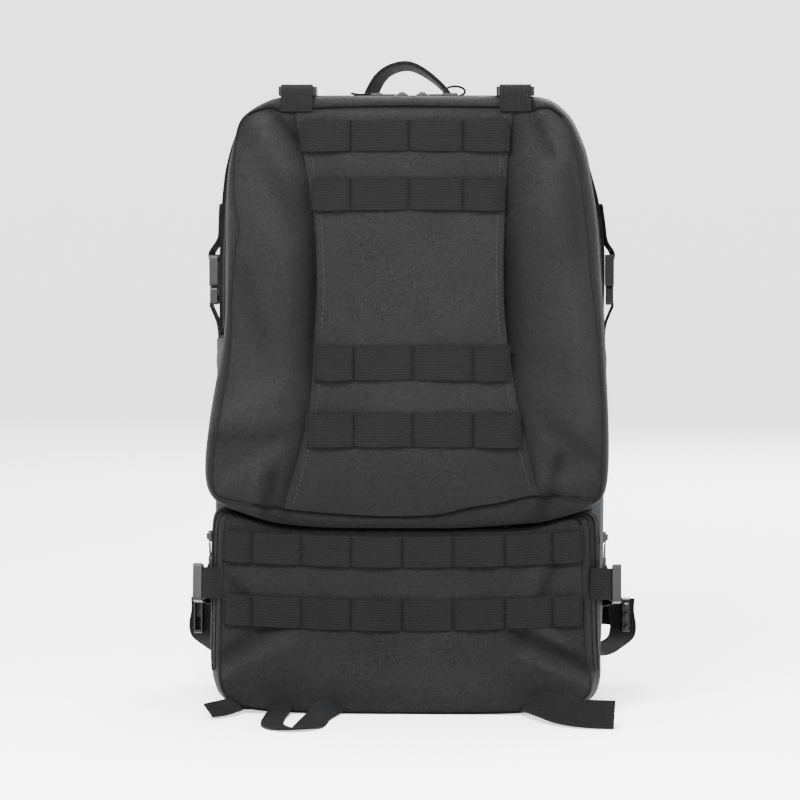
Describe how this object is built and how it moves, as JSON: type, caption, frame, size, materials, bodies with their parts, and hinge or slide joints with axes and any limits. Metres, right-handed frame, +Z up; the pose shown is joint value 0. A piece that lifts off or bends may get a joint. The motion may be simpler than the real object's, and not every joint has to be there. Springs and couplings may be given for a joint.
{
  "type": "trauma backpack",
  "caption": "Medical backpack with a padded harness, a zipped main compartment, a fold-down upper pocket, a drop-down lower pocket and rows of attachment webbing.",
  "frame": {"origin": "on the ground, under the middle of the pack's width", "axes": "+Z up, -Y out of the front pockets, +Y towards the wearer, +X to the right seen from the front"},
  "size_m": [0.3645, 0.3198, 0.5281],
  "materials": {
    "shell_fabric": "matte coated woven nylon",
    "lining": "smooth woven lining",
    "webbing": "ribbed nylon webbing",
    "mesh_pad": "spacer mesh over foam",
    "elastic": "woven elastic",
    "frame_plastic": "satin sheet",
    "stay_metal": "mill",
    "zip_coil": "satin coil",
    "zip_slider": "satin black",
    "buckle_plastic": "satin moulded"
  },
  "bodies": {
    "root": {"main_shell": "shell_fabric", "back_panel": "shell_fabric", "frame_sheet": "frame_plastic", "frame_stays": "stay_metal", "back_liner": "lining", "hydration_sleeve": "lining", "divider_lower": "lining", "upper_pocket_base": "shell_fabric", "lower_pocket_shell": "shell_fabric", "hourglass_lower": "shell_fabric", "pals_rows_middle": "webbing", "back_pads": "mesh_pad", "lumbar_pad": "mesh_pad", "main_zip_coil": "zip_coil", "lower_straps": "webbing", "side_straps": "webbing", "side_buckle_sockets": "buckle_plastic", "load_lifters": "webbing", "shoulder_webbing": "webbing", "lash_loop": "webbing", "lash_tails": "webbing"},
    "main_mouth": {"mouth_gusset": "shell_fabric", "divider_upper": "lining", "elastic_organiser": "elastic", "upper_zip_coil": "zip_coil", "top_straps": "webbing"},
    "upper_front": {"upper_lid": "shell_fabric", "hourglass_upper": "shell_fabric", "pals_rows_top": "webbing", "top_tabs": "webbing", "top_buckle_sockets": "buckle_plastic"},
    "lower_front": {"lower_lid": "shell_fabric", "pals_rows_lower": "webbing", "lower_tabs": "webbing", "lower_buckle_sockets": "buckle_plastic"},
    "shoulder_harness": {"shoulder_pad_left": "mesh_pad", "shoulder_pad_right": "mesh_pad", "ladder_locks": "buckle_plastic", "sternum_straps": "webbing", "sternum_buckle_socket": "buckle_plastic"},
    "sternum_plug": {"sternum_buckle_plug": "buckle_plastic"},
    "hip_left": {"hip_wing_left": "mesh_pad", "hip_webbing_left": "webbing", "waist_buckle_socket": "buckle_plastic"},
    "hip_right": {"hip_wing_right": "mesh_pad", "hip_webbing_right": "webbing", "waist_buckle_plug": "buckle_plastic"},
    "handle": {"grab_handle": "webbing"},
    "top_plug_left": {"top_buckle_plug_left": "buckle_plastic"},
    "top_plug_right": {"top_buckle_plug_right": "buckle_plastic"},
    "lower_plug_left": {"lower_buckle_plug_left": "buckle_plastic"},
    "lower_plug_right": {"lower_buckle_plug_right": "buckle_plastic"},
    "side_plug_left": {"side_buckle_plug_left": "buckle_plastic"},
    "side_plug_right": {"side_buckle_plug_right": "buckle_plastic"},
    "main_slider_left": {"main_zip_slider_left": "zip_slider"},
    "main_slider_right": {"main_zip_slider_right": "zip_slider"},
    "upper_slider_left": {"upper_zip_slider_left": "zip_slider"},
    "upper_slider_right": {"upper_zip_slider_right": "zip_slider"},
    "lower_slider_left": {"lower_zip_slider_left": "zip_slider"},
    "lower_slider_right": {"lower_zip_slider_right": "zip_slider"}
  },
  "joints": [
    {"name": "main_mouth_fold", "type": "hinge", "parent": "root", "child": "main_mouth", "pos_m": [0, -0.097, 0.298], "axis": [1, 0, 0], "range_deg": [0, 45]},
    {"name": "upper_front_fold", "type": "hinge", "parent": "main_mouth", "child": "upper_front", "pos_m": [0, -0.097, 0.298], "axis": [1, 0, 0], "range_deg": [0, 90]},
    {"name": "lower_front_fold", "type": "hinge", "parent": "root", "child": "lower_front", "pos_m": [0, -0.0802, 0.008], "axis": [1, 0, 0], "range_deg": [0, 85]},
    {"name": "shoulder_harness_swing", "type": "hinge", "parent": "root", "child": "shoulder_harness", "pos_m": [0, 0.114, 0.452], "axis": [1, 0, 0], "range_deg": [0, 25], "deforming": ["load_lifters", "shoulder_webbing"]},
    {"name": "sternum_unclip", "type": "slide", "parent": "shoulder_harness", "child": "sternum_plug", "axis": [-1, 0, 0], "range_m": [0, 0.02]},
    {"name": "hip_wing_left_swing", "type": "hinge", "parent": "root", "child": "hip_left", "pos_m": [-0.098, 0.124, 0.062], "axis": [0, 0, -1], "range_deg": [0, 65]},
    {"name": "hip_wing_right_swing", "type": "hinge", "parent": "root", "child": "hip_right", "pos_m": [0.098, 0.124, 0.062], "axis": [0, 0, 1], "range_deg": [0, 65]},
    {"name": "grab_handle_fold", "type": "hinge", "parent": "root", "child": "handle", "pos_m": [0, 0.0963, 0.4906], "axis": [-1, 0, 0], "range_deg": [0, 80]},
    {"name": "top_unclip_left", "type": "slide", "parent": "main_mouth", "child": "top_plug_left", "axis": [0, 1, 0], "range_m": [0, 0.02]},
    {"name": "lower_unclip_left", "type": "slide", "parent": "root", "child": "lower_plug_left", "axis": [0, 0.9848, -0.1736], "range_m": [0, 0.02]},
    {"name": "side_unclip_left", "type": "slide", "parent": "root", "child": "side_plug_left", "axis": [0, 0, -1], "range_m": [0, 0.02]},
    {"name": "top_unclip_right", "type": "slide", "parent": "main_mouth", "child": "top_plug_right", "axis": [0, 1, 0], "range_m": [0, 0.02]},
    {"name": "lower_unclip_right", "type": "slide", "parent": "root", "child": "lower_plug_right", "axis": [0, 0.9848, -0.1736], "range_m": [0, 0.02]},
    {"name": "side_unclip_right", "type": "slide", "parent": "root", "child": "side_plug_right", "axis": [0, 0, -1], "range_m": [0, 0.02]},
    {"name": "main_zip_left", "type": "slide", "parent": "root", "child": "main_slider_left", "axis": [-1, 0, 0], "range_m": [0, 0.055]},
    {"name": "upper_zip_left", "type": "slide", "parent": "main_mouth", "child": "upper_slider_left", "axis": [-1, 0, 0], "range_m": [0, 0.03]},
    {"name": "lower_zip_left", "type": "slide", "parent": "root", "child": "lower_slider_left", "axis": [0.0368, 0, -0.9993], "range_m": [0, 0.07]},
    {"name": "main_zip_right", "type": "slide", "parent": "root", "child": "main_slider_right", "axis": [1, 0, 0], "range_m": [0, 0.055]},
    {"name": "upper_zip_right", "type": "slide", "parent": "main_mouth", "child": "upper_slider_right", "axis": [1, 0, 0], "range_m": [0, 0.03]},
    {"name": "lower_zip_right", "type": "slide", "parent": "root", "child": "lower_slider_right", "axis": [-0.0368, 0, -0.9993], "range_m": [0, 0.07]}
  ]
}
